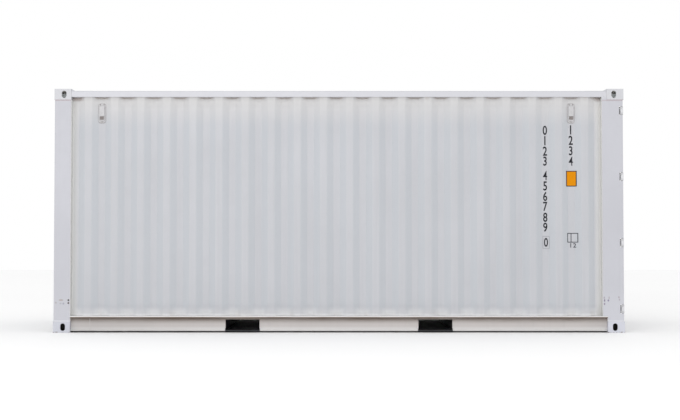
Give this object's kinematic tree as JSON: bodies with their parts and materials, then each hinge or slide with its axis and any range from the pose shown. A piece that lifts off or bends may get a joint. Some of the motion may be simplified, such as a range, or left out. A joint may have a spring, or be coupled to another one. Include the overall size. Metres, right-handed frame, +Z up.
{
  "type": "shipping container",
  "caption": "Steel freight container with corrugated walls and roof, corner castings, fork pockets, plywood floor and two hinged end doors with lock rods.",
  "frame": {"origin": "middle of the base, on the ground plane under the bottom corner fittings", "axes": "+X along the length towards the doors, +Y towards the right side as seen facing the doors, +Z up"},
  "size_m": [6.058, 2.438, 2.591],
  "materials": {
    "wall_paint": "satin paint",
    "frame_paint": "satin paint",
    "base_paint": "satin paint, lightly soiled",
    "roof_paint": "satin paint, weathered",
    "door_paint": "satin paint",
    "hinge_paint": "satin paint",
    "underside_paint": "dark underseal",
    "floor_wood": "worn plywood",
    "vent_plastic": "matt",
    "bare_steel": "galvanised",
    "lock_zinc": "galvanised",
    "door_rubber": "matt"
  },
  "bodies": {
    "container": {"bottom_fitting_front_left": "frame_paint", "bottom_fitting_front_right": "frame_paint", "bottom_fitting_rear_left": "frame_paint", "bottom_fitting_rear_right": "frame_paint", "top_fitting_front_left": "frame_paint", "top_fitting_front_right": "frame_paint", "top_fitting_rear_left": "frame_paint", "top_fitting_rear_right": "frame_paint", "front_post_left": "frame_paint", "front_post_right": "frame_paint", "rear_post_left": "frame_paint", "rear_post_right": "frame_paint", "top_rail_left": "frame_paint", "top_rail_right": "frame_paint", "bottom_rail_left": "base_paint", "bottom_rail_right": "base_paint", "side_wall_left": "wall_paint", "side_wall_right": "wall_paint", "front_header": "frame_paint", "front_sill": "base_paint", "front_wall": "wall_paint", "roof_panel": "roof_paint", "roof_plates": "roof_paint", "floor_boards": "floor_wood", "cross_members": "underside_paint", "fork_pocket_sides": "underside_paint", "fork_pocket_plates": "underside_paint", "rail_bridges": "base_paint", "ventilators": "vent_plastic", "door_header": "frame_paint", "door_sill": "base_paint", "hinge_lugs": "hinge_paint", "hinge_pins": "bare_steel", "cam_keepers": "bare_steel"},
    "left_door": {"left_door_frame": "door_paint", "left_door_panel": "door_paint", "left_door_gasket": "door_rubber", "left_door_hinge_blades": "hinge_paint", "left_door_lock_rods": "lock_zinc", "left_door_rod_brackets": "lock_zinc", "left_door_handles": "lock_zinc", "left_door_handle_catches": "lock_zinc"},
    "right_door": {"right_door_frame": "door_paint", "right_door_panel": "door_paint", "right_door_gasket": "door_rubber", "right_door_hinge_blades": "hinge_paint", "right_door_lock_rods": "lock_zinc", "right_door_rod_brackets": "lock_zinc", "right_door_handles": "lock_zinc", "right_door_handle_catches": "lock_zinc"}
  },
  "joints": [
    {"name": "left_door_hinge", "type": "hinge", "parent": "container", "child": "left_door", "pos_m": [3.012, -1.202, 1.3045], "axis": [0, 0, -1], "range_deg": [0, 270]},
    {"name": "right_door_hinge", "type": "hinge", "parent": "container", "child": "right_door", "pos_m": [3.012, 1.202, 1.3045], "axis": [0, 0, 1], "range_deg": [0, 270]}
  ]
}
